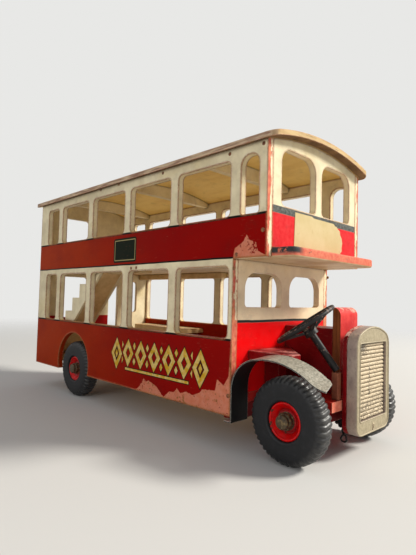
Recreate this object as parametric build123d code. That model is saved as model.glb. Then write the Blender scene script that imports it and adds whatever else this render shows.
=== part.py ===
from build123d import *
import math
import os

# Wooden toy double decker bus, in millimetres.
# Built with X = 0 at the rear of the body, Y = 0 on the centre line and Z = 0 on the ground.
# Forward is +X and the nearside, with the open platform, is +Y. It is centred at the end.

# Wheels and axles
tyre_radius = 36.0
tyre_width = 20.0
tyre_shoulder = 7.0
tyre_bead = 2.0
hub_radius = 16.0
hub_width = 16.0
hub_lip = 2.5
hub_dish = 5.0
boss_radius = 7.0
boss_slope = 1.0
boss_height = 1.2
axle_radius = 3.2
running_clearance = 0.07
end_play = 0.4
collar_radius = 5.0
nut_width = 10.5
nut_thickness = 4.5
axle_end = 2.5
rear_axle_place = 113.0
rear_tyre_inset = 2.0
front_tyre_behind = 12.5
radiator_to_tyre = 1.5
block_half_length = 40.0
block_width = 22.0
block_below_axle = 8.0
arch_clearance = 5.0
arch_lift = 7.0
notch_clearance = 6.0

# Body shell: heights follow from the axle's, and the walls end under the roof
body_width = 160.0
wall = 7.0
lower_length = 398.5
upper_overhang = 36.5
axle_to_floor = 5.0
floor_thickness = 9.0
skirt = 9.2
sill_above_floor = 48.8
saloon_height = 120.0
deck_thickness = 8.3
upper_panel = 38.0
lower_rail = 6.8
eaves_rail = 11.1
window_corner = 5.0

# Side windows: the first is narrow, four wide ones follow, and the upper deck has one more at the front
first_window = (24.0, 57.0)
pillar = 12.0
corner_post = 5.5
wide_windows = 4
last_pillar = 12.5
last_post = 9.2
last_rail = 9.6
last_window_flat = 2.0
last_window_low_corner = 2.5

# Roof
roof_radius = 300.0
roof_underside = 280.5
roof_thickness = 5.0
eaves_overhang = 5.0
roof_rear = -15.0
roof_front_overhang = 10.0
roof_corner = 9.0
bow_width = 8.0
bow_depth = 6.0
bow_first = 65.0
bow_pitch = 140.0
bow_count = 3

# Canopy lip over the driver
lip_reach = 22.0
lip_corner = 7.5

# Front of the upper deck
front_window_middle = 5.5
front_window_side = 13.0
front_window_rise = 8.0
front_window_drop = 13.5
front_window_arch = 13.0

# Rear window of both decks
rear_window = (-48.0, -2.0)
rear_window_drop = 24.5

# Bulkhead behind the driver
bulkhead_window_middle = 6.5
bulkhead_window_side = 10.0
bulkhead_window_drop = 10.7
bulkhead_window_height = 32.3
bulkhead_arch = 15.5
bulkhead_low_corner = 4.0

# Open rear platform and saloon partition
rear_panel_end = 38.0
platform_post = 4.0
partition_thickness = 5.0
partition_inner_edge = 18.0
partition_window = (28.0, 54.0)
partition_window_rise = 59.0
partition_window_drop = 12.0

# Staircase
stair_foot = 36.0
stair_run = 18.9
stair_first_step = 24.5
stair_steps = 6
stair_top_drop = 2.0
stair_throat = 14.0
stair_board = 4.0
stair_step_board = 3.0
stair_width = 35.0
stair_soffit_board = 3.0
stairwell_rear = 60.0

# Nose of the floor board, and the bearer under the bulkhead
nose_half_width = 32.0
bearer_depth = 13.4
bearer_length = 14.0

# Benches and the battens under the upper deck
bench_height = 41.0
bench_board = 6.0
bench_depth = 31.0
bench_length = 130.0
bench_left_rear = 75.0
bench_right_rear = 153.0
bench_corner = 8.0
riser_inset = 1.0
batten_width = 9.0
batten_depth = 8.0
batten_inset = 6.0
batten_front = 253.0

# Mudguard of bent sheet, on the offside alone, its inner edge higher than its outer one
guard_sheet = 1.2
guard_inner = 57.5
guard_lean = 1.8
guard_leg_rise = 19.0
guard_rear_radius = 29.0
guard_rear_turn = 76.0
guard_top_radius = 70.0
guard_top_turn = 48.0
guard_tip = 15.2
guard_tip_turn = 30.0
guard_cut_back = 6.0
guard_corner = 3.5
guard_flange = 7.0

# Bonnet, front board and radiator
bonnet_side = 0.0
bonnet_width = 33.0
bonnet_length = 52.5
bonnet_height = 59.3
board_thickness = 8.0
board_height = 79.0
board_corner = 7.5
radiator_ahead = 10.4
radiator_width = 64.0
radiator_below_floor = 30.0
radiator_height = 93.0
radiator_arch = 17.0
radiator_arch_corner = 12.5
radiator_low_corner = 10.0
radiator_board = 4.1
radiator_shell = 9.0
radiator_margin = 6.8
radiator_brow = 14.4
radiator_chin = 12.5
grille_recess = 2.0
grille_plate = 2.5
grille_corner = 2.0
grille_bars = 19
grille_bar_share = 0.5
grille_bar_depth = 1.2

# Driver's seat
seat_length = 47.5
seat_cut_along = 41.5
seat_cut_across = 44.0
seat_thickness = 8.0
seat_reach = 57.0
seat_height = 38.0
riser_length = 16.3
riser_depth = 12.0

# Steering wheel: its rim's centre from the bulkhead's front, the centre line and the floor
steering_rim = (44.5, -33.0, 63.7)
steering_lean = (-0.48, -0.31, 0.82)
steering_length = 47.0
column_radius = 3.1
rim_radius = 27.5
rim_wire = 1.9
wheel_dish = 8.0
wheel_boss_radius = 6.0
wheel_boss_height = 6.0
wheel_spokes = 4
spoke_width = 4.2
spoke_thickness = 2.2
post_width = 6.0

# Wire eye under the nose, for a pulling string
eye_behind_nose = 3.4
eye_side = -5.0
eye_drop = 26.0
eye_radius = 3.2
eye_wire = 0.9

# Heights that follow from the sizes above
axle_height = tyre_radius
floor_low = axle_height + axle_to_floor
floor_top = floor_low + floor_thickness
body_bottom = floor_low - skirt
lower_sill = floor_top + sill_above_floor
deck_bottom = floor_top + saloon_height
deck_top = deck_bottom + deck_thickness
lower_window_top = deck_bottom - lower_rail
upper_sill = deck_bottom + upper_panel

# Places across and along that follow
half_body = body_width / 2
half_inside = half_body - wall
roof_width = body_width + 2 * eaves_overhang
upper_length = lower_length + upper_overhang
roof_front = upper_length + roof_front_overhang
platform_front = first_window[1] + platform_post
wide_start = first_window[1] + pillar
wide_end = lower_length - corner_post
wide_width = (wide_end - wide_start - (wide_windows - 1) * pillar) / wide_windows
radiator_centre = bonnet_side + bonnet_width / 2
bonnet_front = lower_length + bonnet_length
nose_front = bonnet_front + board_thickness + radiator_ahead
front_axle_place = lower_length + front_tyre_behind + tyre_radius
rear_tyre_outer = half_body - rear_tyre_inset
front_tyre_outer = radiator_centre + radiator_width / 2 + radiator_to_tyre + tyre_width
nodes = {}


def block(x, y, z):
    """A box from its low and high X, Y and Z."""
    size = (x[1] - x[0], y[1] - y[0], z[1] - z[0])
    centre = ((x[0] + x[1]) / 2, (y[0] + y[1]) / 2, (z[0] + z[1]) / 2)
    return Pos(*centre) * Box(*size)


def slab_x(face, low, high):
    """A face drawn in Y and Z, as thick as low to high along X."""
    return extrude(Plane.YZ.offset(low) * face, high - low)


def slab_y(face, low, high):
    """A face drawn in X and Z, as thick as low to high along Y."""
    return extrude(Plane.XZ.offset(-high) * face, high - low)


def slab_z(face, low, high):
    """A face drawn in X and Y, as thick as low to high along Z."""
    return extrude(Plane.XY.offset(low) * face, high - low)


def outline(points):
    return make_face(Polyline(*points, close=True))


def rounded(across, up, top_corner, low_corner):
    """A rectangle with one radius for its top corners and another for its low corners."""
    face = Rectangle(across[1] - across[0], up[1] - up[0])
    face = fillet(face.vertices().group_by(Axis.Y)[-1], top_corner)
    face = fillet(face.vertices().group_by(Axis.Y)[0], low_corner)
    return Pos((across[0] + across[1]) / 2, (up[0] + up[1]) / 2) * face


def arched(width, bottom, top, rise, corner, low_corner):
    """A board with a three-centred arch on top: two corner arcs and one flat arc between them."""
    half = width / 2
    spring = top - rise
    drop = ((half - corner) ** 2 - (rise - corner) ** 2) / (2 * (rise - corner))
    reach = math.hypot(half - corner, drop)
    crown = rise + drop
    meet_y = crown * (half - corner) / reach
    meet_z = spring - drop + crown * drop / reach
    turn = math.atan2(drop, half - corner) / 2
    mid_y = half - corner + corner * math.cos(turn)
    mid_z = spring + corner * math.sin(turn)
    edges = [
        Line((-half, bottom), (half, bottom)),
        Line((half, bottom), (half, spring)),
        ThreePointArc((half, spring), (mid_y, mid_z), (meet_y, meet_z)),
        ThreePointArc((meet_y, meet_z), (0, top), (-meet_y, meet_z)),
        ThreePointArc((-meet_y, meet_z), (-mid_y, mid_z), (-half, spring)),
        Line((-half, spring), (-half, bottom)),
    ]
    face = make_face(edges)
    return fillet(face.vertices().group_by(Axis.Y)[0], low_corner)


def roof_height(y, lift):
    """Height of the roof's curve at y, lift above its underside."""
    radius = roof_radius + lift
    return roof_underside - roof_radius + math.sqrt(radius ** 2 - y ** 2)


# Everything under the roof's curved underside, to trim walls to it
roof_rim = roof_height(roof_width / 2, 0)
under_roof_face = make_face([
    ThreePointArc((-roof_width / 2, roof_rim), (0, roof_underside), (roof_width / 2, roof_rim)),
    Line((roof_width / 2, roof_rim), (roof_width / 2, 0)),
    Line((roof_width / 2, 0), (-roof_width / 2, 0)),
    Line((-roof_width / 2, 0), (-roof_width / 2, roof_rim)),
])
under_roof = slab_x(under_roof_face, roof_rear, roof_front)

# Side walls
wall_top = roof_height(half_body, 0)
upper_window_top = wall_top - eaves_rail
wide_spans = []
for number in range(wide_windows):
    start = wide_start + number * (wide_width + pillar)
    wide_spans.append((start, start + wide_width))


def side_wall(outer, inner):
    low, high = min(outer, inner), max(outer, inner)
    wall_board = block((0, lower_length), (low, high), (body_bottom, roof_underside))
    wall_board += block((0, upper_length), (low, high), (deck_bottom, roof_underside))
    for span in [first_window] + wide_spans:
        lower = rounded(span, (lower_sill, lower_window_top), window_corner, window_corner)
        upper = rounded(span, (upper_sill, upper_window_top), window_corner, window_corner)
        wall_board -= slab_y(lower, low, high)
        wall_board -= slab_y(upper, low, high)
    last_window = (wide_end + last_pillar, upper_length - last_post)
    last_round = (last_window[1] - last_window[0] - last_window_flat) / 2
    last = rounded(last_window, (upper_sill, wall_top - last_rail), last_round, last_window_low_corner)
    wall_board -= slab_y(last, low, high)
    arch = Pos(rear_axle_place, axle_height + arch_lift) * Circle(tyre_radius + arch_clearance)
    wall_board -= slab_y(arch, low, high)
    return wall_board & under_roof


nodes["side_right"] = side_wall(-half_body, -half_inside)
platform_gap = block((0, platform_front), (half_inside, half_body), (body_bottom, lower_window_top))
nodes["side_left"] = side_wall(half_body, half_inside) - platform_gap

# Roof sheet and the bows under it
roof_top_rim = roof_height(roof_width / 2, roof_thickness)
roof_face = make_face([
    ThreePointArc((-roof_width / 2, roof_rim), (0, roof_underside), (roof_width / 2, roof_rim)),
    Line((roof_width / 2, roof_rim), (roof_width / 2, roof_top_rim)),
    ThreePointArc((roof_width / 2, roof_top_rim), (0, roof_underside + roof_thickness),
                  (-roof_width / 2, roof_top_rim)),
    Line((-roof_width / 2, roof_top_rim), (-roof_width / 2, roof_rim)),
])
roof_sheet = slab_x(roof_face, roof_rear, roof_front)
nodes["roof"] = fillet(roof_sheet.edges().filter_by(Axis.Z), roof_corner)
bow_low = roof_height(half_inside, 0) - bow_depth
bows = []
for number in range(bow_count):
    place = bow_first + number * bow_pitch
    span = (place - bow_width / 2, place + bow_width / 2)
    bow = block(span, (-half_inside, half_inside), (bow_low, roof_underside)) & under_roof
    bows.append(bow)
nodes["roof_bows"] = bows

# Upper deck, with its lip over the driver and the stairwell beside the offside wall
deck = block((0, upper_length), (-half_inside, half_inside), (deck_bottom, deck_top))
lip_face = Rectangle(lip_reach, 2 * half_inside)
lip_face = fillet(lip_face.vertices().group_by(Axis.X)[-1], lip_corner)
lip_face = Pos(upper_length + lip_reach / 2, 0) * lip_face
deck += slab_z(lip_face, deck_bottom, deck_top)
stair_inner = -half_inside + stair_width
stair_top_end = stair_foot + stair_steps * stair_run
deck -= block((stairwell_rear, stair_top_end), (-half_inside, stair_inner), (deck_bottom, deck_top))
nodes["upper_floor"] = deck

# Panels across the upper deck
front_span = (upper_length - wall, upper_length)
front_panel = block(front_span, (-half_inside, half_inside), (deck_top, roof_underside)) & under_roof
front_window_up = (upper_sill + front_window_rise, roof_underside - front_window_drop)
for side in (-1, 1):
    across = sorted((side * front_window_middle, side * (half_inside - front_window_side)))
    hole = rounded(across, front_window_up, front_window_arch, window_corner)
    front_panel -= slab_x(hole, *front_span)
nodes["front_panel_upper"] = front_panel
rear_upper = block((0, wall), (-half_inside, half_inside), (deck_top, roof_underside)) & under_roof
hole = rounded(rear_window, (upper_sill, roof_underside - rear_window_drop), window_corner,
               window_corner)
nodes["rear_panel_upper"] = rear_upper - slab_x(hole, 0, wall)

# Panels across the lower deck
bulkhead_span = (lower_length - wall, lower_length)
bulkhead = block(bulkhead_span, (-half_inside, half_inside), (floor_top, deck_bottom))
bulkhead_window_top = deck_bottom - bulkhead_window_drop
bulkhead_window_up = (bulkhead_window_top - bulkhead_window_height, bulkhead_window_top)
for side in (-1, 1):
    across = sorted((side * bulkhead_window_middle, side * (half_inside - bulkhead_window_side)))
    hole = rounded(across, bulkhead_window_up, bulkhead_arch, bulkhead_low_corner)
    bulkhead -= slab_x(hole, *bulkhead_span)
nodes["bulkhead_lower"] = bulkhead
rear_lower = block((0, wall), (-half_inside, rear_panel_end), (body_bottom, deck_bottom))
hole = rounded(rear_window, (lower_sill, lower_window_top), window_corner, window_corner)
nodes["rear_panel_lower"] = rear_lower - slab_x(hole, 0, wall)
partition_span = (platform_front, platform_front + partition_thickness)
partition = block(partition_span, (partition_inner_edge, half_inside), (floor_top, deck_bottom))
partition_window_up = (floor_top + partition_window_rise, deck_bottom - partition_window_drop)
hole = rounded(partition_window, partition_window_up, window_corner, window_corner)
nodes["saloon_partition"] = partition - slab_x(hole, *partition_span)

# Floor board, cut away over the rear wheels and narrow under the bonnet, with a bearer across it
bearer_bottom = floor_low - bearer_depth
floor_board = block((wall, lower_length), (-half_inside, half_inside), (floor_low, floor_top))
floor_board += block((lower_length, nose_front), (-nose_half_width, nose_half_width),
                     (floor_low, floor_top))
notch_half = tyre_radius + notch_clearance
notch_inner = rear_tyre_outer - tyre_width - notch_clearance
notch_span = (rear_axle_place - notch_half, rear_axle_place + notch_half)
for side in (-1, 1):
    across = sorted((side * notch_inner, side * half_inside))
    floor_board -= block(notch_span, across, (floor_low, floor_top))
nodes["lower_floor"] = floor_board
nodes["front_bearer"] = block((lower_length - bearer_length, lower_length),
                              (-half_inside, half_inside), (bearer_bottom, floor_low))

# Staircase: two cut strings, folded steps between them and a soffit board below
stair_top_tread = deck_bottom - stair_top_drop
stair_rise = (stair_top_tread - floor_top - stair_first_step) / (stair_steps - 1)
soffit_foot = stair_foot + stair_throat


def stair_profile():
    """The steps' saw-tooth from the floor up to the deck, as X and Z points."""
    points = [(stair_foot, floor_top)]
    for number in range(stair_steps):
        height = stair_top_tread - (stair_steps - 1 - number) * stair_rise
        rear = stair_foot + number * stair_run
        points.append((rear, height))
        points.append((rear + stair_run, height))
    return points


saw_tooth = stair_profile()
soffit_slope = (deck_bottom - floor_top) * stair_run / stair_rise
soffit_top = soffit_foot + soffit_slope
string_face = outline(saw_tooth + [(stair_top_end, deck_bottom), (soffit_top, deck_bottom),
                                   (soffit_foot, floor_top)])
right_string = (-half_inside, -half_inside + stair_board)
left_string = (stair_inner - stair_board, stair_inner)
nodes["stair_string_right"] = slab_y(string_face, *right_string)
nodes["stair_string_left"] = slab_y(string_face, *left_string)
lower_saw_tooth = [(x + stair_step_board, z - stair_step_board) for x, z in saw_tooth]
lower_saw_tooth[0] = (stair_foot + stair_step_board, floor_top)
lower_saw_tooth[-1] = (stair_top_end, stair_top_tread - stair_step_board)
steps_face = outline(saw_tooth + lower_saw_tooth[::-1])
between_strings = (right_string[1], left_string[0])
nodes["stair_steps"] = slab_y(steps_face, *between_strings)
soffit_across = stair_soffit_board * math.hypot(stair_run, stair_rise) / stair_rise
soffit_face = outline([(soffit_foot, floor_top), (soffit_top, deck_bottom),
                       (soffit_top - soffit_across, deck_bottom),
                       (soffit_foot - soffit_across, floor_top)])
nodes["stair_soffit"] = slab_y(soffit_face, *between_strings)

# Benches along both sides, and battens under the deck
bench_top = floor_top + bench_height
riser_outer = notch_inner - riser_inset
for name, side, rear in (("bench_left", 1, bench_left_rear), ("bench_right", -1, bench_right_rear)):
    depth = sorted((side * half_inside, side * (half_inside - bench_depth)))
    top_face = Rectangle(bench_length, bench_depth)
    inner_row = top_face.vertices().group_by(Axis.Y)[0 if side > 0 else -1]
    top_face = Pos(rear + bench_length / 2, sum(depth) / 2) * fillet(inner_row, bench_corner)
    bench = slab_z(top_face, bench_top - bench_board, bench_top)
    front = sorted((side * riser_outer, side * (riser_outer - bench_board)))
    riser_span = (rear + bench_corner, rear + bench_length - bench_corner)
    bench += block(riser_span, front, (floor_top, bench_top - bench_board))
    nodes[name] = bench
for name, side in (("batten_left", 1), ("batten_right", -1)):
    outer = half_inside - batten_inset
    across = sorted((side * outer, side * (outer - batten_width)))
    rear = platform_front + partition_thickness if side > 0 else soffit_top
    nodes[name] = block((rear, batten_front), across, (deck_bottom - batten_depth, deck_bottom))

# Bonnet block, the board in front of it, and the radiator
bonnet_across = (bonnet_side, bonnet_side + bonnet_width)
nodes["bonnet_block"] = block((lower_length, bonnet_front), bonnet_across,
                              (floor_top, floor_top + bonnet_height))
front_board = block((bonnet_front, bonnet_front + board_thickness), bonnet_across,
                    (floor_top, floor_top + board_height))
top_edge = front_board.edges().filter_by(Axis.Y).sort_by(lambda edge: edge.center().X
                                                         + edge.center().Z)[-1]
nodes["bonnet_front_board"] = fillet(top_edge, board_corner)
radiator_bottom = floor_top - radiator_below_floor
radiator_top = radiator_bottom + radiator_height
radiator_face = Pos(radiator_centre, 0) * arched(radiator_width, radiator_bottom, radiator_top,
                                                 radiator_arch, radiator_arch_corner,
                                                 radiator_low_corner)
shell_rear = nose_front + radiator_board
shell_front = shell_rear + radiator_shell
nodes["radiator_board"] = slab_x(radiator_face, nose_front, shell_rear)
grille_across = (radiator_centre - radiator_width / 2 + radiator_margin,
                 radiator_centre + radiator_width / 2 - radiator_margin)
grille_up = (radiator_bottom + radiator_chin, radiator_top - radiator_brow)
grille_hole = rounded(grille_across, grille_up, grille_corner, grille_corner)
nodes["radiator_shell"] = slab_x(radiator_face, shell_rear, shell_front) - slab_x(
    grille_hole, shell_rear, shell_front)
plate_front = shell_front - grille_recess - grille_bar_depth
grille = slab_x(grille_hole, plate_front - grille_plate, plate_front)
bar_pitch = (grille_up[1] - grille_up[0]) / grille_bars
for number in range(grille_bars):
    low = grille_up[0] + (number + (1 - grille_bar_share) / 2) * bar_pitch
    bar = (low, low + bar_pitch * grille_bar_share)
    grille += block((plate_front, plate_front + grille_bar_depth), grille_across, bar) & slab_x(
        grille_hole, shell_rear, shell_front)
nodes["radiator_grille"] = grille

# Mudguard: a bent strip with a flange under the bearer, its front end flared and cut at a slant
guard_x = lower_length + guard_sheet / 2


def guard_profile(lift):
    """The bent strip's edge seen from the side, its bends higher by lift."""
    leg = Line((guard_x, bearer_bottom - guard_sheet), (guard_x, axle_height + guard_leg_rise + lift))
    rear_bend = JernArc(leg @ 1, leg % 1, guard_rear_radius, -guard_rear_turn)
    top_bend = JernArc(rear_bend @ 1, rear_bend % 1, guard_top_radius, -guard_top_turn)
    tip_radius = guard_tip / math.radians(guard_tip_turn)
    tip = JernArc(top_bend @ 1, top_bend % 1, tip_radius, guard_tip_turn)
    return trace([leg, rear_bend, top_bend, tip], guard_sheet)


outer_profile = Plane.XZ.offset(half_body) * guard_profile(0)
inner_profile = Plane.XZ.offset(guard_inner) * guard_profile(guard_lean)
guard_strip = loft([outer_profile, inner_profile], ruled=True)
guard_front = guard_strip.bounding_box().max.X
guard_top = guard_strip.bounding_box().max.Z
guard_strip += block((lower_length - guard_flange, lower_length + guard_sheet),
                     (-half_body, -guard_inner), (bearer_bottom - guard_sheet, bearer_bottom))
slant = outline([(guard_front - guard_cut_back - guard_corner, -guard_inner),
                 (guard_front - guard_cut_back, -guard_inner - guard_corner),
                 (guard_front, -half_body), (guard_front + guard_cut_back, -half_body),
                 (guard_front + guard_cut_back, -guard_inner)])
nodes["mudguard_right"] = guard_strip - slab_z(slant, 0, guard_top)

# Driver's seat, cut at a slant beside the bonnet, on its riser, which stands on the nose
seat_top = floor_top + seat_height
seat_low = seat_top - seat_thickness
seat_front = lower_length + seat_length
seat_face = outline([(lower_length, bonnet_side), (seat_front - seat_cut_along, bonnet_side),
                     (seat_front, bonnet_side - seat_cut_across), (seat_front, -seat_reach),
                     (lower_length, -seat_reach)])
nodes["driver_seat"] = slab_z(seat_face, seat_low, seat_top)
seat_riser_span = (lower_length, lower_length + riser_length)
nodes["seat_riser"] = block(seat_riser_span, (-nose_half_width, riser_depth - nose_half_width),
                            (floor_top, seat_low))

# Steering wheel, dished, with its column and the post that the column stands on
rim_centre = Vector(lower_length, 0, floor_top) + Vector(*steering_rim)
lean = Vector(*steering_lean).normalized()
hub_centre = rim_centre - lean * wheel_dish
foot = rim_centre - lean * steering_length
column_plane = Plane(origin=foot, z_dir=lean)
column_length = steering_length - wheel_dish - wheel_boss_height / 2
nodes["steering_column"] = extrude(column_plane * Circle(column_radius), column_length)
wheel_plane = Plane(origin=hub_centre, z_dir=lean)
steering = Pos(0, 0, wheel_dish) * Torus(rim_radius, rim_wire)
steering += Cylinder(wheel_boss_radius, wheel_boss_height)
spoke_face = outline([(0, -spoke_thickness / 2), (rim_radius, wheel_dish - spoke_thickness / 2),
                      (rim_radius, wheel_dish + spoke_thickness / 2), (0, spoke_thickness / 2)])
spoke = slab_y(spoke_face, -spoke_width / 2, spoke_width / 2)
for number in range(wheel_spokes):
    steering += Rot(0, 0, 360 / wheel_spokes * (number + 0.5)) * spoke
nodes["steering_wheel"] = wheel_plane * steering
post_top = foot.Z - column_radius * math.hypot(lean.X, lean.Y)
nodes["steering_post"] = block((foot.X - post_width / 2, foot.X + post_width / 2),
                               (foot.Y - post_width / 2, foot.Y + post_width / 2),
                               (floor_top, post_top))

# Axles with their collars, the blocks that hold them, and nuts on their ends
boss_recess = hub_dish - boss_height
nuts = []
for name, place, outer in (("front", front_axle_place, front_tyre_outer),
                           ("rear", rear_axle_place, rear_tyre_outer)):
    centre = Pos(place, 0, axle_height)
    hub_outer = outer - (tyre_width - hub_width) / 2
    collar_end = hub_outer - hub_width - end_play / 2
    nut_start = hub_outer - boss_recess + end_play / 2
    half_axle = nut_start + nut_thickness + axle_end
    rod = centre * Rot(90, 0, 0) * Cylinder(axle_radius, 2 * half_axle)
    for side in (-1, 1):
        middle = side * (collar_end + block_half_length) / 2
        length = collar_end - block_half_length
        rod += Pos(place, middle, axle_height) * Rot(90, 0, 0) * Cylinder(collar_radius, length)
        nut_middle = side * (nut_start + nut_thickness / 2)
        nut_face = RegularPolygon(nut_width / 2, 6, major_radius=False) - Circle(axle_radius)
        nut = extrude(nut_face, nut_thickness / 2, both=True)
        nuts.append(Pos(place, nut_middle, axle_height) * Rot(90, 0, 0) * nut)
    nodes[name + "_axle"] = rod
    holder = block((place - block_width / 2, place + block_width / 2),
                   (-block_half_length, block_half_length), (axle_height - block_below_axle, floor_low))
    nodes[name + "_axle_block"] = holder - centre * Rot(90, 0, 0) * Cylinder(
        axle_radius, 2 * block_half_length)
nodes["axle_nuts"] = nuts

# Wheels: a rubber tyre on a dished disc, with the same outline at all four corners
tyre_face = Rectangle(tyre_radius - hub_radius, tyre_width)
tyre_face = fillet(tyre_face.vertices().group_by(Axis.X)[-1], tyre_shoulder)
tyre_face = fillet(tyre_face.vertices().group_by(Axis.X)[0], tyre_bead)
tyre_face = Pos((tyre_radius + hub_radius) / 2, 0) * tyre_face
bore = axle_radius + running_clearance
half_hub = hub_width / 2
hub_face = outline([(bore, -half_hub), (bore, half_hub - boss_recess),
                    (boss_radius, half_hub - boss_recess),
                    (boss_radius + boss_slope, half_hub - hub_dish),
                    (hub_radius - 2 * hub_lip, half_hub - hub_dish / 2),
                    (hub_radius - hub_lip, half_hub), (hub_radius, half_hub),
                    (hub_radius, -half_hub)])
for end, place, outer in (("front", front_axle_place, front_tyre_outer),
                          ("rear", rear_axle_place, rear_tyre_outer)):
    for name, side in (("left", 1), ("right", -1)):
        where = Pos(place, side * (outer - tyre_width / 2), axle_height)
        turn = Rot(0, 0, 0) if side > 0 else Rot(180, 0, 0)
        tyre = revolve(tyre_face, Axis.Y)
        hub = revolve(hub_face, Axis.Y)
        nodes["tyre_" + end + "_" + name] = where * turn * tyre
        nodes["hub_" + end + "_" + name] = where * turn * hub

# Wire eye under the nose, on a long shank
eye_place = Pos(nose_front - eye_behind_nose, eye_side, floor_low - eye_drop)
eye = eye_place * Rot(90, 0, 0) * Torus(eye_radius, eye_wire)
shank = eye_drop - eye_radius
eye += eye_place * Pos(0, 0, eye_radius + shank / 2) * Cylinder(eye_wire, shank)
nodes["tow_eye"] = eye


def solids_of(shape):
    found = []
    for piece in shape if isinstance(shape, list) else [shape]:
        found.extend(piece.solids())
    return found


# Centre the whole on its box, with the ground at Z = 0
everything = []
for shape in nodes.values():
    everything.extend(solids_of(shape))
bounds = Compound(children=everything).bounding_box()
shift = Pos(-(bounds.min.X + bounds.max.X) / 2, -(bounds.min.Y + bounds.max.Y) / 2, -bounds.min.Z)
os.makedirs("parts", exist_ok=True)
for name, shape in nodes.items():
    moved = [shift * solid for solid in solids_of(shape)]
    whole = moved[0] if len(moved) == 1 else Compound(children=moved)
    export_step(whole, "parts/" + name + ".step")
print("overall", [round(size, 1) for size in bounds.size], "shift", shift.position)
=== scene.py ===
"""Looks of a wooden toy double decker bus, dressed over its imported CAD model.

Lengths are millimetres from the body's rear, the centre line and the ground, and become
metres where they reach Blender. Colours are red, green and blue from 0 to 255, as on screen.
"""
import math
from functools import reduce

import bpy
from mathutils import Euler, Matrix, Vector, noise


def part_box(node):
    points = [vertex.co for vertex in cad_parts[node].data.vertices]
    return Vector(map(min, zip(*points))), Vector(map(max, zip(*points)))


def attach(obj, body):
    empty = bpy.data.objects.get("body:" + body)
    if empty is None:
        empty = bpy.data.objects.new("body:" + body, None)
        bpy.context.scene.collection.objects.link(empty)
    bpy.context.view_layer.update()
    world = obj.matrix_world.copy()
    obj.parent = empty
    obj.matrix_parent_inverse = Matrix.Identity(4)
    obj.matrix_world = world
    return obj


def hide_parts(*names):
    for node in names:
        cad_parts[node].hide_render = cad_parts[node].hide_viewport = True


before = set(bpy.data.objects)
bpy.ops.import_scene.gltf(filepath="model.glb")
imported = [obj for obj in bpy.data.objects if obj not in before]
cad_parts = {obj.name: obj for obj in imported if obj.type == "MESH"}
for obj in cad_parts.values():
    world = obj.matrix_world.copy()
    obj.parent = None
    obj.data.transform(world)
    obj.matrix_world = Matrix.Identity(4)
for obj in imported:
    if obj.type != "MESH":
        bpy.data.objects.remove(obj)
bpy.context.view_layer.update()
scene = bpy.context.scene
scene.view_settings.view_transform = "Standard"

MM = 0.001
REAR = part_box("side_right")[0][0]


def extent(node):
    """A CAD node's low and high corners, in millimetres."""
    return [Vector((x - REAR, y, z)) / MM for x, y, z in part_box(node)]


def metres(x, y, z):
    return (REAR + x * MM, y * MM, z * MM)


# Places that the frame gives
outside = -extent("side_right")[0].y
deck_low = extent("upper_floor")[0]
floor_high = extent("lower_floor")[1]
bulkhead_high = extent("bulkhead_lower")[1]
front_high = extent("front_panel_upper")[1]
roof_high = extent("roof")[1]
board_high = extent("bonnet_front_board")[1]
seat_low, seat_high = extent("driver_seat")
shell_low, shell_high = extent("radiator_shell")
grille_low, grille_high = extent("radiator_grille")
front_axle = sum(extent("hub_front_right"), Vector()) / 2
rear_axle = sum(extent("hub_rear_right"), Vector()) / 2

# Painted lines and zones on the body
lower_line = 98.8
upper_line = 208.0
line_width = 2.0
red_fade = (40, 330)
front_line = (208.6, 214.9)
bulkhead_line = (113.0, 115.4)
rear_board = 8.0
lip_black_across = (-56, -66)
lip_black_up = (171.5, 174.5)

# Where the paint of an outer face ends and where it is full, from the face
skin = (-0.9, -0.3)
thin_skin = (-0.9, -0.4)

# Blank number plate, and the gilt ornament low on the side
plate_span = (205.0, 251.0)
plate_heights = (173.6, 202.2)
ornament_span = (208.0, 371.0)
ornament_heights = (50.0, 86.0)
underline_span = (237.0, 344.0)
underline_height = 52.6

# Blank notice on the front, with its torn edge: places across and up
notice_outline = ((-41, 180), (-39.6, 213), (-12, 213.2), (-9, 212), (28, 211.8), (31, 209.5),
                  (33, 210), (36, 207.6), (40, 206), (41, 202), (44, 199), (45.5, 194), (44, 189),
                  (44.5, 186), (41.5, 183.5), (42, 180))
notice_thickness = 0.35

# Flaked paint: the upper edge of the bare stretches, as places along and heights
lower_flake = ((255, 30), (265, 37), (273, 47), (277, 43.5), (281, 45.5), (294, 42), (307, 33),
               (316, 40), (323, 40.5), (327.5, 45), (333, 41), (341, 44), (350, 42.5), (360, 46),
               (363, 50), (380, 51.5), (382, 62), (390, 57.5), (396, 66), (397.5, 90), (400, 100))
upper_flake = ((397, 168), (400, 179), (407, 183), (410, 185), (413.5, 190), (417, 185), (424, 182.5),
               (426, 175), (433, 172), (436, 171))

# Nails: place along and height on the offside, and the radius of the head
nails = ((430.9, 192.5, 2.025), (401.9, 173.2, 2.025), (399.2, 161.4, 1.62), (242.1, 166.4, 1.755),
         (252.0, 166.6, 1.755), (395.9, 49.4, 2.025), (169.9, 268.0, 1.62), (210.9, 268.0, 1.62),
         (295.0, 266.0, 1.62), (391.4, 265.3, 1.755), (430.1, 266.0, 1.755))

# Tyres: ribs with narrow grooves between them, and the radii over which the tread's colour sets in
shoulder = 7.0
rib_count = 44
rib_steps = 12
groove_depth = 1.05
rib_sway = 0.16
tread_fade = (29, 35)

# The hub's face from its bore outwards: radius, and depth below the rim
hub_profile = ((3.3, 3.8), (8.2, 3.8), (8.6, 4.0), (8.8, 4.5), (9.1, 4.9), (9.6, 4.9), (10.2, 4.4),
               (12.0, 2.6), (13.1, 1.3))

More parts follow.
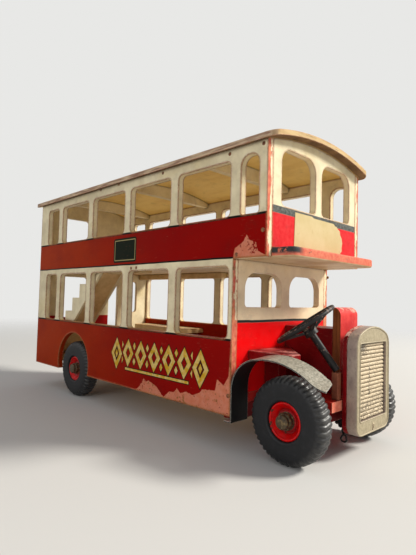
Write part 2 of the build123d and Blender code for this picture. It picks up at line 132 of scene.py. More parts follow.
# The nut's seat, as a depth below the hub's rim, and its rings from there outwards: across flats
# or diameter, height, and six-sided or not
nut_seat = 3.7
nut_rings = ((15.0, 0.0, False), (15.0, 0.9, False), (14.0, 1.0, False), (13.4, 1.0, True),
             (13.4, 4.2, True), (12.6, 4.9, True), (12.0, 4.9, False), (11.8, 5.0, False),
             (11.8, 7.4, False), (10.6, 8.3, False), (7.0, 8.6, False))

# A nail head's rings: share of its radius, and height; and the height of its crown
nail_rings = ((1.0, -0.2), (0.96, 0.22), (0.6, 0.42))
nail_lift = 0.48

# Bars of the grille, rounding of edges, the reach of a weld in metres, and the wheels
bar_count = 19
sanded = 0.6
lip_rounding = 1.6
thin_rounding = 0.25
weld_distance = 1e-5
corners = ("front_left", "front_right", "rear_left", "rear_right")

# Camera as the photograph was taken: degrees, and a focal length in the photograph's pixels
camera_place = (0.41712, -0.36448, 0.13402)
camera_azimuth = 135.363
camera_elevation = 2.778
camera_roll = 1.478
focal_pixels = 434.376
photo_height = 555
sensor = 36.0

# Paints and bare materials
CREAM = (244, 231, 194)
CREAM_GREY = (218, 203, 168)
CREAM_YELLOW = (226, 205, 150)
RED_SIDE_REAR = (166, 50, 4)
RED_SIDE_FRONT = (146, 10, 6)
RED_FRONT = (212, 16, 26)
RED_DARK = (112, 6, 12)
RED_HUB = (226, 4, 6)
PRIMER = (208, 118, 86)
PINK = (216, 138, 112)
PEACH = (232, 150, 112)
PLUM = (128, 70, 66)
SALMON = (186, 124, 108)
WOOD = (176, 122, 74)
WOOD_DARK = (120, 74, 40)
TAN = (196, 164, 116)
BLACK = (22, 24, 22)
GOLD = (210, 164, 44)
GOLD_WORN = (226, 198, 122)
PLATE = (26, 32, 22)
RUBBER = (8, 9, 13)
RUBBER_GREY = (28, 28, 32)
RUST = (94, 78, 52)
RUST_DARK = (46, 35, 26)
TIN = (164, 160, 144)
TIN_DARK = (124, 120, 106)
ALLOY = (184, 171, 140)
ALLOY_DARK = (158, 145, 116)
ALLOY_GREY = (184, 165, 148)
ALLOY_MAUVE = (146, 128, 119)
NOTICE = (208, 191, 142)
# Grime colour, also used for painted shade in corners and joints
DIRT_AND_SHADE = (58, 42, 32)
MAROON = (104, 34, 34)

# Floor, and the surround as it lights and as it is seen
FLOOR = (214, 213, 210)
SURROUND_LIGHT = (250, 250, 252)
SURROUND_SEEN = (232, 232, 230)


def paint(colour):
    """A screen colour in Blender's linear values."""
    channels = []
    for value in colour:
        share = value / 255
        channels.append(share / 12.92 if share <= 0.04045 else ((share + 0.055) / 1.055) ** 2.4)
    return (*channels, 1.0)


class Tree:
    """A node tree: each method adds nodes and gives back an output socket."""

    def __init__(self, owner):
        owner.use_nodes = True
        self.tree = owner.node_tree
        self.tree.nodes.clear()

    def add(self, kind, inputs=(), **settings):
        """Adds a node, whose inputs are sockets or values, by name or number."""
        node = self.tree.nodes.new(kind)
        for name, value in settings.items():
            setattr(node, name, value)
        for key, value in dict(inputs).items():
            if isinstance(value, bpy.types.NodeSocket):
                self.tree.links.new(value, node.inputs[key])
            else:
                node.inputs[key].default_value = value
        return node

    def end(self, kind, share, first, second):
        """Ends the tree with a mix of two shaders."""
        mixed = self.add("ShaderNodeMixShader", {0: share, 1: first, 2: second})
        self.add(kind, {"Surface": mixed.outputs[0]})

    def vector(self, operation, *values, output="Vector"):
        node = self.add("ShaderNodeVectorMath", dict(enumerate(values)), operation=operation)
        return node.outputs[output]

    def length(self, vector):
        return self.vector("LENGTH", vector, output="Value")

    def math(self, operation, *values):
        return self.add("ShaderNodeMath", dict(enumerate(values)), operation=operation).outputs[0]

    def chain(self, operation, values):
        return reduce(lambda first, other: self.math(operation, first, other), values)

    def plus(self, *values):
        return self.chain("ADD", values)

    def times(self, *values):
        return self.chain("MULTIPLY", values)

    def either(self, *values):
        return self.chain("MAXIMUM", values)

    def least(self, *values):
        return self.chain("MINIMUM", values)

    def minus(self, first, second):
        return self.math("SUBTRACT", first, second)

    def opposite(self, share):
        return self.minus(1.0, share)

    def rise(self, value, low, high, start=0.0):
        """0 at low and 1 at high, both from start, smooth between, whichever is the greater."""
        inputs = {"Value": value, "From Min": start + low, "From Max": start + high}
        return self.add("ShaderNodeMapRange", inputs, interpolation_type="SMOOTHSTEP").outputs[0]

    def below(self, value, level, soft=0.2):
        """1 below a level and 0 above it, with an edge that soft blurs."""
        return self.rise(value, level + soft, level - soft)


class Graph(Tree):
    """One material's nodes, with the point's place in millimetres and its facing."""

    def __init__(self, name):
        self.material = bpy.data.materials.new(name)
        super().__init__(self.material)
        spot = self.add("ShaderNodeTexCoord").outputs["Object"]
        spot = self.vector("MULTIPLY", spot, (1 / MM, 1 / MM, 1 / MM))
        self.place = self.vector("SUBTRACT", spot, (REAR / MM, 0, 0))
        self.x, self.y, self.z = self.add("ShaderNodeSeparateXYZ", {0: self.place}).outputs
        self.side = self.math("ABSOLUTE", self.y)
        self.facing = self.add("ShaderNodeNewGeometry").outputs["Normal"]
        facing = self.add("ShaderNodeSeparateXYZ", {0: self.facing}).outputs
        self.facing_x, self.facing_y, self.facing_z = facing

    def between(self, value, low, high, soft=0.15):
        """1 from low to high, with edges that soft blurs."""
        return self.times(self.rise(value, low - soft, low + soft), self.below(value, high, soft))

    def curve(self, value, points):
        """The height of a line through points at value, both in millimetres."""
        (first, last) = (points[0][0], points[-1][0])
        heights = [height for along, height in points]
        (low, high) = (min(heights), max(heights))
        share = self.add("ShaderNodeMapRange", {"Value": value, "From Min": first, "From Max": last})
        node = self.add("ShaderNodeFloatCurve", {"Value": share.outputs[0]})
        line = node.mapping.curves[0].points
        while len(line) < len(points):
            line.new(0.5, 0.5)
        for knot, (along, height) in zip(line, points):
            knot.location = ((along - first) / (last - first), (height - low) / (high - low))
            knot.handle_type = "VECTOR"
        node.mapping.update()
        scaled = {"Value": node.outputs[0], "To Min": low, "To Max": high}
        return self.add("ShaderNodeMapRange", scaled).outputs[0]

    def noise(self, size, detail=3.0, rough=0.55, stretch=(1, 1, 1), seed=0.0, warp=0.0):
        """Noise whose features are about size across, times stretch along each axis."""
        scale = [1 / (size * share) for share in stretch]
        moved = self.add("ShaderNodeMapping", {"Vector": self.place, "Scale": scale,
                                               "Location": (seed, seed * 1.7, seed * 2.3)})
        inputs = {"Vector": moved.outputs[0], "Scale": 1.0, "Detail": detail, "Roughness": rough,
                  "Distortion": warp}
        return self.add("ShaderNodeTexNoise", inputs).outputs[0]

    def spots(self, low, high, *form, **settings):
        """Patches of noise: 0 below low and 1 above high."""
        return self.rise(self.noise(*form, **settings), low, high)

    def mix(self, share, first, second):
        inputs = {0: share}
        for slot, colour in ((6, first), (7, second)):
            inputs[slot] = paint(colour) if isinstance(colour, tuple) else colour
        return self.add("ShaderNodeMix", inputs, data_type="RGBA").outputs[2]

    def over(self, coat, colour, *shares):
        """A colour laid over a coat, by the product of the shares."""
        return self.mix(self.times(*shares), coat, colour)

    def blend(self, share, first, second):
        return self.add("ShaderNodeMix", {0: share, 2: first, 3: second}).outputs[0]

    def mottle(self, first, second, size, seed=0.0, reach=0.16, stretch=(1, 1, 1)):
        """Two colours in soft patches."""
        patches = self.noise(size, 4, 0.6, stretch, seed)
        return self.mix(self.rise(patches, 0.5 - reach, 0.5 + reach), first, second)

    def edge(self, reach):
        """1 on the piece's edges, falling to 0 away from them."""
        rounded = self.add("ShaderNodeBevel", {"Radius": reach * MM}, samples=6).outputs[0]
        turn = self.vector("DOT_PRODUCT", rounded, self.facing, output="Value")
        return self.rise(turn, 0.995, 0.86)

    def occlusion_shade(self, reach):
        """1 in corners and joints, 0 in the open, for painting shade where ambient light is blocked."""
        node = self.add("ShaderNodeAmbientOcclusion", {"Distance": reach * MM}, samples=6)
        return self.rise(node.outputs["AO"], 0.78, 0.3)

    def grain(self, along, light, dark, seed=0.0):
        """Bare wood with its grain along an axis, as a colour and a height."""
        stretch = [1.0, 1.0, 1.0]
        stretch["xyz".index(along)] = 26.0
        fibres = self.noise(1.3, 5, 0.65, stretch, seed)
        broad = [share if share == 1 else 8.0 for share in stretch]
        figure = self.noise(9, 3, 0.5, broad, seed + 4, 0.6)
        share = self.plus(self.times(fibres, 0.6), self.times(figure, 0.4))
        return self.mix(self.rise(share, 0.36, 0.64), dark, light), fibres

    def scratches(self, along, seed):
        """Fine short scratches along an axis."""
        stretch = [16.0 if axis == along else 1.0 for axis in "xyz"]
        lines = self.spots(0.66, 0.72, 0.55, 2, 0.5, stretch, seed)
        return self.times(lines, self.spots(0.46, 0.60, 30, 3, seed=seed + 9))

    def from_axle(self):
        """A point's distance from the nearer axle, and how far ahead of it the point lies."""
        middle = (front_axle.x + rear_axle.x) / 2
        nearer = self.math("GREATER_THAN", self.x, middle)
        centre = self.blend(nearer, rear_axle.x, front_axle.x)
        ahead = self.minus(self.x, centre)
        lift = self.minus(self.z, front_axle.z)
        flat = self.add("ShaderNodeCombineXYZ", {0: ahead, 1: lift}).outputs[0]
        return self.length(flat), ahead

    def shade(self, colour, rough, height, glint=0.5, metal=0.0):
        """Ends the material: height is in millimetres."""
        bump = self.add("ShaderNodeBump", {"Height": height, "Distance": MM, "Strength": 1.0})
        inputs = {"Base Color": colour, "Roughness": rough, "Normal": bump.outputs[0],
                  "Specular IOR Level": glint, "Metallic": metal}
        shader = self.add("ShaderNodeBsdfPrincipled", inputs)
        self.add("ShaderNodeOutputMaterial", {"Surface": shader.outputs[0]})
        return self.material


def chipped(g, coat, extra=0.0, edges=0.34, reach=1.3, gloss=0.42, under=PRIMER, wood=WOOD,
            seed=0.0, along="x", glint=0.1):
    """Brushed paint that is lost in chips, on edges first, down to primer and then to wood."""
    flakes = g.noise(3, 7, 0.68, seed=seed)
    patches = g.noise(27, 2, 0.5, seed=seed + 5)
    worn = g.plus(g.times(flakes, 0.62), g.times(patches, 0.38), g.times(g.edge(reach), edges), extra)
    primed = g.rise(worn, 0.705, 0.725)
    bare = g.rise(worn, 0.86, 0.90)
    timber, fibres = g.grain(along, wood, WOOD_DARK, seed)
    under = g.mottle(under, PINK, 6, seed + 2, 0.3) if isinstance(under, tuple) else under
    hairs = g.times(g.scratches(along, seed + 1), 0.4)
    colour = g.mix(hairs, coat, under)
    rim = g.times(g.rise(worn, 0.688, 0.702), g.rise(worn, 0.728, 0.712), 0.55)
    colour = g.mix(bare, g.mix(primed, colour, under), timber)
    colour = g.mix(rim, colour, MAROON)
    # Grime in spots, and painted shade: corners and joints darkened by ambient occlusion.
    dirt_and_shade = g.spots(0.5, 0.8, 14, 5, 0.7, seed=seed + 7)
    dirt_and_shade = g.either(g.times(dirt_and_shade, 0.22), g.times(g.occlusion_shade(5), 0.62))
    colour = g.mix(dirt_and_shade, colour, DIRT_AND_SHADE)
    streaks = g.noise(1.1, 3, 0.5, [14 if axis == along else 1 for axis in "xyz"], seed + 3)
    rough = g.blend(primed, g.plus(gloss - 0.1, g.times(streaks, 0.22)), 0.78)
    height = g.plus(g.times(primed, -0.09), g.times(bare, -0.08), g.times(streaks, 0.028),
                    g.times(fibres, 0.03), g.times(hairs, -0.03))
    return g.shade(colour, rough, height, glint)


def cream_coat(g, seed=0.0):
    """Cream paint with grey and yellow patches and a few brown specks."""
    coat = g.mottle(CREAM, CREAM_GREY, 24, seed + 1, 0.22)
    coat = g.over(coat, CREAM_YELLOW, g.spots(0.52, 0.72, 30, 3, seed=seed + 2), 0.4)
    coat = g.over(coat, (232, 200, 122), g.rise(g.facing_z, 0.5, 0.9), 0.6)
    return g.over(coat, WOOD, g.spots(0.74, 0.80, 1.6, 2, seed=seed + 3), 0.5)


def rounded_box(g, across, up, spans, corner):
    """How far a point lies outside a rounded rectangle, in millimetres."""
    offsets = []
    for value, (low, high) in ((across, spans[0]), (up, spans[1])):
        off = g.math("ABSOLUTE", g.minus(value, (low + high) / 2))
        offsets.append(g.minus(off, (high - low) / 2 - corner))
    outer = g.add("ShaderNodeCombineXYZ", {0: g.either(offsets[0], 0.0), 1: g.either(offsets[1], 0.0)})
    inner = g.least(g.either(*offsets), 0.0)
    return g.minus(g.plus(g.length(outer.outputs[0]), inner), corner)


def lozenge(g, across, up, half_width, half_height):
    """How far a point lies outside an upright lozenge centred on zero, in millimetres."""
    share = g.plus(g.math("DIVIDE", g.math("ABSOLUTE", across), half_width),
                   g.math("DIVIDE", g.math("ABSOLUTE", up), half_height))
    slope = half_width * half_height / math.hypot(half_width, half_height)
    return g.times(g.minus(share, 1.0), slope)


def hollow_lozenge(g, across, up, outer, inner):
    """A lozenge with another cut out of it; outer and inner are half widths and half heights."""
    return g.either(lozenge(g, across, up, *outer), g.times(lozenge(g, across, up, *inner), -1))


def ornament(g):
    """A row of gilt lozenges over a gilt rule: how far a point lies outside them."""
    (left, right) = ornament_span
    (low, high) = ornament_heights
    half = (high - low) / 2
    end_half = 11
    pitch = 23.8
    up = g.minus(g.z, (low + high) / 2)
    found = []
    for centre in (left + end_half, right - end_half):
        across = g.minus(g.x, centre)
        found.append(hollow_lozenge(g, across, up, (end_half, half), (5.4, half - 9)))
        found.append(lozenge(g, across, up, 2.6, 5.0))
    row = g.between(g.x, left + 2 * end_half, right - 2 * end_half, 0.01)
    phase = g.minus(g.x, left + 2 * end_half + pitch / 2)
    phase = g.math("WRAP", phase, pitch / 2, -pitch / 2)
    lifted = g.minus(up, 2.5)
    ring = hollow_lozenge(g, phase, lifted, (10.2, 15.5), (4.4, 6.6))
    between = g.minus(g.math("ABSOLUTE", phase), pitch / 2)
    for lift in (-8.5, 8.5):
        ring = g.least(ring, lozenge(g, between, g.plus(lifted, lift), 2.6, 4.2))
    found.append(g.plus(ring, g.times(g.opposite(row), 50.0)))
    rule = (underline_height - 1.3, underline_height + 1.3)
    found.append(rounded_box(g, g.x, g.z, (underline_span, rule), 0.3))
    return g.least(*found)


def gilded(g, coat, distance):
    """Gold leaf, worn pale in places, with a black outline."""
    leaf = g.mottle(GOLD, GOLD_WORN, 7, 5, 0.14)
    leaf = g.mix(g.spots(0.62, 0.70, 1.4, 4, 0.7, seed=7), leaf, BLACK)
    outlined = g.mix(g.below(distance, 0.9, 0.15), coat, BLACK)
    return g.mix(g.below(distance, 0, 0.12), outlined, leaf)


def flaked(g, outline, ragged, fade):
    """1 where the paint is lost: under a ragged outline, from a little past its start."""
    over = g.minus(g.z, g.plus(g.curve(g.x, outline), ragged))
    start = outline[0][0] + 1
    return g.times(g.below(over, 0, 0.4), g.rise(g.x, start, start + fade))


def side_material():
    """The side boards: red below and in a band, cream posts, black lines, plate and ornament."""
    g = Graph("side_paint")
    outer = g.rise(g.side, *skin, outside)
    ragged = g.times(g.minus(g.noise(2.6, 5, 0.7, seed=2), 0.5), 2.2)
    height = g.plus(g.z, g.times(g.minus(g.noise(40, 2, seed=6), 0.5), 1.2))
    red = g.mix(g.rise(g.x, *red_fade), RED_SIDE_REAR, RED_SIDE_FRONT)
    red = g.over(red, RED_DARK, g.spots(0.4, 0.7, 45, 4, 0.6, (2, 1, 1), 4), 0.35)
    band = g.between(height, deck_low.z, upper_line)
    low = g.below(height, lower_line, 0.15)
    coat = g.mix(g.either(low, g.times(band, outer)), cream_coat(g), red)
    lines = g.either(g.between(height, lower_line - line_width, lower_line),
                     g.between(height, upper_line - line_width, upper_line),
                     g.between(height, deck_low.z, deck_low.z + line_width * 0.8))
    coat = g.over(coat, BLACK, lines, outer)
    plate = rounded_box(g, g.x, g.z, (plate_span, plate_heights), 3.0)
    coat = g.over(coat, PLATE, g.below(plate, 0), outer)
    inset = g.math("ABSOLUTE", g.plus(plate, 2.6))
    coat = g.over(coat, (176, 160, 110), g.rise(inset, 0.6, 0.35), outer)
    coat = g.mix(outer, coat, gilded(g, coat, ornament(g)))
    low_loss = flaked(g, lower_flake, ragged, 2)
    high_loss = g.times(flaked(g, upper_flake, ragged, 1), g.rise(g.z, 1, 2.4, upper_flake[0][1]))
    upper_end = g.rise(g.x, -3, -2, front_high.x)
    lower_end = g.times(g.rise(g.x, -3, -2, bulkhead_high.x), g.rise(g.z, 0, -0.5, deck_low.z))
    front_end = g.times(g.rise(g.facing_x, 0.5, 0.8), g.either(upper_end, lower_end))
    inward = g.rise(g.side, -2.4, -4.6, outside)
    whole = g.plus(g.noise(4.5, 6, 0.7, (1, 1, 3), 12), g.times(inward, 0.16),
                   g.times(g.below(g.z, bulkhead_line[1], 1), -0.3))
    end_coat = g.mix(g.rise(whole, 0.56, 0.58), g.mottle(PEACH, (206, 96, 84), 5, 13, 0.2), CREAM)
    seam = g.times(g.rise(whole, 0.545, 0.56), g.rise(whole, 0.59, 0.575))
    coat = g.mix(front_end, coat, g.over(end_coat, (150, 44, 48), seam, 0.8))
    loss = g.times(g.either(low_loss, high_loss), outer)
    extra = g.plus(g.times(loss, 0.28), g.times(g.opposite(g.either(low, band)), -0.02))
    primer = g.mottle(PRIMER, PINK, 6, 15, 0.3)
    under = g.mix(g.either(low, g.times(band, outer), front_end), g.mottle(SALMON, PLUM, 3, 14), primer)
    return chipped(g, coat, extra, gloss=0.4, edges=0.40, reach=3.8, under=under, seed=1, glint=0.025)


def front_material():
    """The upper front: cream over a chipped black band over bright red."""
    g = Graph("front_paint")
    outer = g.rise(g.x, *skin, front_high.x)
    coat = cream_coat(g, 20)
    red = g.mottle(RED_FRONT, (222, 56, 58), 5, 21, 0.3)
    coat = g.over(coat, red, outer, g.below(g.z, front_line[0]))
    band = g.between(g.z, *front_line)
    black = g.mottle((46, 54, 52), (120, 122, 116), 2.2, 22, 0.3)
    coat = g.over(coat, black, outer, band)
    under = g.mix(g.rise(g.z, -1, 1, front_line[0]), PRIMER, g.mottle(SALMON, PLUM, 3, 24))
    return chipped(g, coat, g.times(outer, band, 0.03), reach=3.2, gloss=0.4, under=under, seed=21,
                   along="y")


def bulkhead_material():
    """The bulkhead: cream windows over a black line over bright red."""
    g = Graph("bulkhead_paint")
    outer = g.rise(g.x, *skin, bulkhead_high.x)
    coat = g.mix(0.3, cream_coat(g, 30), (255, 214, 184))
    red = g.mottle((242, 4, 10), (240, 26, 28), 9, 31, 0.36)
    height = g.plus(g.z, g.times(g.minus(g.noise(30, 3, seed=33), 0.5), 1.4))
    coat = g.over(coat, red, outer, g.below(height, bulkhead_line[0]))
    coat = g.over(coat, (40, 46, 46), outer, g.between(height, *bulkhead_line))
    return chipped(g, coat, gloss=0.34, edges=0.24, seed=31, along="y")


def deck_material():
    """The upper deck: cream, with the lip's rim and top red worn to salmon, black in places."""
    g = Graph("deck_paint")
    lip = g.rise(g.x, -0.5, 0.5, front_high.x)
    upward = g.rise(g.facing_z, -0.5, -0.2)
    coat = g.mottle((222, 200, 162), (192, 158, 112), 30, 40)
    worn_red = g.mottle((224, 138, 108), (206, 88, 70), 3, 41, 0.3)
    corner = g.times(g.rise(g.y, *lip_black_across), g.rise(g.z, *lip_black_up))
    black = g.times(corner, g.spots(0.40, 0.48, 7, 4, 0.6, seed=42))
    flecks = g.spots(0.70, 0.73, 5, 3, 0.5, (1, 2, 1), 44)
    worn_red = g.mix(g.either(black, flecks), worn_red, (56, 60, 62))
    coat = g.over(coat, worn_red, lip, upward)
    return chipped(g, coat, gloss=0.5, edges=0.25, seed=41, under=(226, 132, 108))


def plain_material(name, light, dark, seed, gloss=0.45, along="x"):
    """A board in one colour of chipped paint."""
    g = Graph(name)
    coat = g.mottle(light, dark, 16, seed, 0.22)
    return chipped(g, coat, edges=0.26, gloss=gloss, seed=seed, along=along)


def cream_material():
    """Inner boards: cream, and red below the line on the rear panel."""
    g = Graph("cream_paint")
    coat = cream_coat(g, 50)
    rear = g.times(g.rise(g.x, 0, -0.4, rear_board), g.below(g.z, lower_line + 3))
    coat = g.mix(rear, coat, g.mottle((190, 18, 20), (150, 20, 18), 12, 51))
    return chipped(g, coat, gloss=0.45, edges=0.22, seed=52)


def roof_material():
    """The roof: weathered tan paint, mauve edges, bare at the front, painted shade under its eaves."""
    g = Graph("roof_paint")
    under = g.rise(g.facing_z, -0.2, -0.6)
    coat = g.mottle((184, 156, 122), (156, 128, 98), 22, 60, 0.24, (4, 1, 1))
    inner = g.mottle((254, 224, 146), (236, 200, 124), 34, 61, 0.2, (3, 1, 1))
    # Painted shade: the underside of the overhang, at the front and sides, is darkened brown.
    eave_shade = g.either(g.rise(g.x, 0, 1, front_high.x), g.rise(g.side, 0, 0.5, outside))
    inner = g.mix(eave_shade, inner, g.mottle((132, 102, 68), (96, 72, 50), 8, 66, 0.2, (2, 2, 1)))
    coat = g.mix(under, coat, inner)
    streaks = g.mottle((212, 188, 154), (150, 114, 96), 2.0, 62, 0.16, (12, 1, 1))
    rim = g.rise(g.side, -2.5, -0.6, roof_high.y)
    coat = g.over(coat, streaks, rim, g.opposite(under))
    nose = g.times(g.rise(g.x, *thin_skin, roof_high.x), g.opposite(under))
    bare = g.mottle((214, 186, 136), (188, 156, 108), 6, 63, 0.2, (1, 6, 1))
    cracks = g.spots(0.60, 0.66, 1.5, 3, 0.6, (1, 18, 1), 65)
    coat = g.mix(nose, coat, g.over(bare, (104, 74, 54), cracks, 0.6))
    brow = g.times(g.rise(g.x, -5, -0.6, roof_high.x), g.rise(g.facing_z, 0.1, 0.5))
    return chipped(g, coat, g.times(brow, 0.2), edges=0.36, reach=2.0, gloss=0.62, wood=TAN,
                   under=(238, 210, 192), seed=64)


def seat_material():
    """The driver's seat board: dark red, its front edge worn pale, its top paler in a painted sun patch.
    """
    g = Graph("seat_paint")
    coat = g.mottle(RED_DARK, (140, 24, 26), 8, 70, 0.25)
    swirl = g.spots(0.38, 0.56, 16, 4, 0.6, (1, 2, 1), 72, 1.2)
    # Pale outer top: worn paint, and a painted sunlit patch beside the inner part's painted shade.
    worn = g.times(g.rise(g.facing_z, 0.3, 0.7), g.rise(g.y, seat_high.y - 10, seat_low.y + 18), swirl)
    coat = g.over(coat, (226, 150, 144), worn, 0.75)
    rim = g.rise(g.y, 4, 0.5, seat_low.y)
    extra = g.either(g.times(worn, 0.18), g.times(rim, 0.1))
    return chipped(g, coat, extra, edges=0.3, gloss=0.34, under=(232, 176, 164), seed=71, along="y")


def board_material():
    """The board before the bonnet: coral red in front, bare brown wood at its sides."""
    g = Graph("front_board_paint")
    coat = g.mottle((236, 80, 74), (210, 42, 44), 12, 80, 0.3)
    bare = g.rise(g.math("ABSOLUTE", g.facing_y), 0.6, 0.8)
    coat = g.mix(bare, coat, g.grain("z", (150, 86, 46), (104, 56, 28), 82)[0])
    top = g.rise(g.z, -14, -3, board_high.z)
    crown = g.times(top, g.rise(g.facing_z, 0.1, 0.6))
    extra = g.plus(g.times(top, 0.09), g.times(crown, 0.12), g.times(bare, -0.2))
    return chipped(g, coat, extra, edges=0.2, gloss=0.4, under=(238, 176, 164), seed=81, along="z")


def crown_material():
    """The board behind the radiator: dark red, its rounded top worn pale."""
    g = Graph("radiator_board_paint")
    crown = g.times(g.rise(g.z, -16, -5, shell_high.z), g.rise(g.facing_z, -0.1, 0.5))
    coat = g.mottle((138, 12, 18), (104, 8, 14), 12, 190, 0.22)
    return chipped(g, coat, g.times(crown, 0.26), gloss=0.36, under=(236, 194, 178), seed=190)


def rubber_material():
    """Old rubber: black sides and a greyer, shinier tread."""
    g = Graph("tyre_rubber")
    tread = g.rise(g.from_axle()[0], *tread_fade)
    dust = g.noise(5, 6, 0.7, seed=90)
    worn = g.mottle((74, 73, 71), (38, 38, 40), 3, 92, 0.2, (1, 3, 1))
    colour = g.mix(g.rise(dust, 0.46, 0.76), RUBBER, RUBBER_GREY)
    colour = g.over(colour, worn, tread, 0.8)
    rough = g.blend(tread, 0.6, g.plus(0.34, g.times(g.rise(dust, 0.4, 0.7), 0.16)))
    return g.shade(colour, rough, g.times(g.noise(0.7, 3, 0.6, seed=91), 0.05), glint=0.42)


def hub_material():
    """Pressed hub discs: bright red, shade painted round the nut, with dark chips by the lip."""
    g = Graph("hub_red")
    radius, ahead = g.from_axle()
    coat = g.mottle(RED_HUB, (186, 6, 8), 5, 100, 0.3)
    # Painted shade: the dish round the nut is darkened where it is recessed.
    coat = g.over(coat, (84, 8, 14), g.rise(radius, 11.6, 9.6), 0.6)
    flakes = g.noise(2.6, 6, 0.65, seed=101)
    rearward = g.times(g.rise(ahead, -8, -14), g.rise(radius, 11.5, 13.5))
    worn = g.plus(flakes, g.times(g.edge(1.0), 0.1), g.times(rearward, 0.11))
    gone = g.rise(worn, 0.63, 0.65)
    metal = g.mottle((74, 62, 44), RUST_DARK, 3, 102, 0.2)
    height = g.plus(g.times(gone, -0.1), g.times(g.noise(1.2, 3, seed=103), 0.05))
    return g.shade(g.mix(gone, coat, metal), g.blend(gone, 0.28, 0.75), height, glint=0.25)


def rust_material(name, light, dark, dust):
    """Rusty steel, with paler rust in spots."""
    g = Graph(name)
    colour = g.mottle(light, dark, 2.4, 110, 0.2)
    colour = g.mix(g.spots(0.54, 0.66, 2.2, 4, seed=111), colour, dust)
    height = g.times(g.noise(0.9, 5, 0.7, seed=112), 0.12)
    return g.shade(colour, 0.5, height, metal=0.25)


def black_material():
    """Black paint on metal, rubbed brown, more on top, which is partly a painted highlight."""
    g = Graph("black_steel")
    rub = g.noise(3.2, 5, 0.65, seed=120)
    # Rubbed paint in patches; the pull towards the top is a painted highlight.
    worn = g.rise(g.plus(rub, g.times(g.rise(g.facing_z, 0.2, 0.8), 0.09)), 0.58, 0.68)
    colour = g.over(g.mottle((12, 11, 11), (24, 20, 19), 4, 121), (134, 112, 100), worn, 0.75)
    height = g.plus(g.times(worn, -0.05), g.times(g.noise(0.8, 3, seed=122), 0.05))
    return g.shade(colour, 0.5, height, glint=0.3)


def wire_material():
    """Black iron wire."""
    g = Graph("wire_black")
    colour = g.mottle((12, 11, 11), (38, 32, 28), 2, 125)
    return g.shade(colour, 0.5, g.times(g.noise(0.6, 3, seed=126), 0.05), glint=0.3)


def guard_material():
    """Tinplate mudguard: speckled pale grey above; painted shade, near black, beneath and down its leg.
    """
    g = Graph("guard_tin")
    top = g.rise(g.facing_z, 0.05, 0.25)
    specks = g.mottle((192, 185, 168), (108, 104, 92), 1.7, 130, 0.13)
    pale = g.mix(0.45, specks, g.mottle(TIN, TIN_DARK, 7, 131, 0.2))
    # Painted reflection: the tin is tinted pink near the red bulkhead.
    red_reflection = g.rise(g.x, 40, 10, bulkhead_high.x)
    pale = g.over(pale, g.mottle((216, 170, 154), (184, 120, 108), 5, 135, 0.2), red_reflection, 0.7)
    # Pale edges in patches: worn bare tin, and in part a painted highlight along the rim.
    rim = g.times(g.edge(0.8), g.spots(0.3, 0.45, 3, 4, seed=132))
    # Painted shade: every face that does not face upwards is near black.
    colour = g.over(g.mix(top, (14, 14, 15), pale), (224, 220, 206), rim, 0.85)
    pits = g.spots(0.62, 0.70, 1.3, 4, 0.7, seed=136)
    colour = g.over(colour, (84, 80, 70), top, pits, 0.6)
    dents = g.times(g.noise(11, 2, seed=133), 0.4)
    pits = g.times(g.noise(0.9, 4, 0.7, seed=134), 0.09)
    return g.shade(colour, 0.5, g.plus(dents, pits), glint=0.35)


def alloy_material():
    """Cast metal: a tan, brushed face, mauve sides, grime in patches, and painted shade in corners."""
    g = Graph("radiator_metal")
    coat = g.mottle(ALLOY_GREY, ALLOY_MAUVE, 9, 145, 0.24, (1, 1, 2))
    face = g.mottle(ALLOY, ALLOY_DARK, 2.2, 149, 0.26, (1, 1, 1.4))
    coat = g.mix(g.rise(g.facing_x, 0.3, 0.6), coat, face)
    coat = g.over(coat, (226, 216, 190), g.edge(0.9), g.spots(0.3, 0.5, 4, 4, seed=150), 0.7)
    marks = g.noise(2.0, 6, 0.75, seed=146)
    # Grime marks, and painted shade in the corners from ambient occlusion.
    dirt_and_shade = g.either(g.times(g.rise(marks, 0.55, 0.66), 0.5), g.times(g.occlusion_shade(3), 0.6))
    coat = g.mix(dirt_and_shade, coat, (66, 60, 52))
    height = g.plus(g.times(g.noise(0.8, 4, 0.6, seed=147), 0.1), g.times(marks, 0.18))
    return g.shade(coat, 0.5, height, metal=0.15)


def bars_material():
    """The grille's bars: pale and pitted, dirty at the top, with painted shade between them."""
    g = Graph("radiator_bars")
    coat = g.mottle((222, 204, 172), (172, 154, 126), 1.7, 141, 0.18, (1, 0.6, 1))
    ripples = g.noise(0.9, 4, 0.7, (1, 0.7, 2), 142)
    low_corner = g.times(g.rise(g.z, 34, 8, grille_low.z), 0.07)
    top_corner = g.times(g.rise(g.z, -16, -2, grille_high.z), g.rise(g.y, 24, 0, grille_low.y), 0.3)
    split = g.times(g.between(g.y, grille_low.y + 19.4, grille_low.y + 21.0, 0.5),
                    g.between(g.z, grille_low.z + 20, grille_high.z - 20, 2.0), 0.14)
    marks = g.plus(g.noise(1.5, 5, 0.7, seed=143), low_corner, top_corner, split)
    pits = g.rise(marks, 0.58, 0.66)
    # Pits, and painted shade between the bars from ambient occlusion.
    dirt_and_shade = g.either(g.times(pits, 0.8), g.times(g.occlusion_shade(1.3), 0.6))
    coat = g.mix(dirt_and_shade, coat, (54, 50, 44))
    height = g.plus(g.times(ripples, 0.32), g.times(pits, -0.2))
    return g.shade(coat, 0.5, height, metal=0.15)


def notice_material():
    """Blank aged paper."""
    g = Graph("notice_paper")
    coat = g.mottle(NOTICE, (198, 179, 124), 20, 150, 0.25)
    coat = g.over(coat, (176, 150, 96), g.spots(0.6, 0.72, 6, 5, 0.7, seed=151), 0.4)
    return g.shade(coat, 0.7, g.times(g.noise(2, 4, seed=152), 0.05))


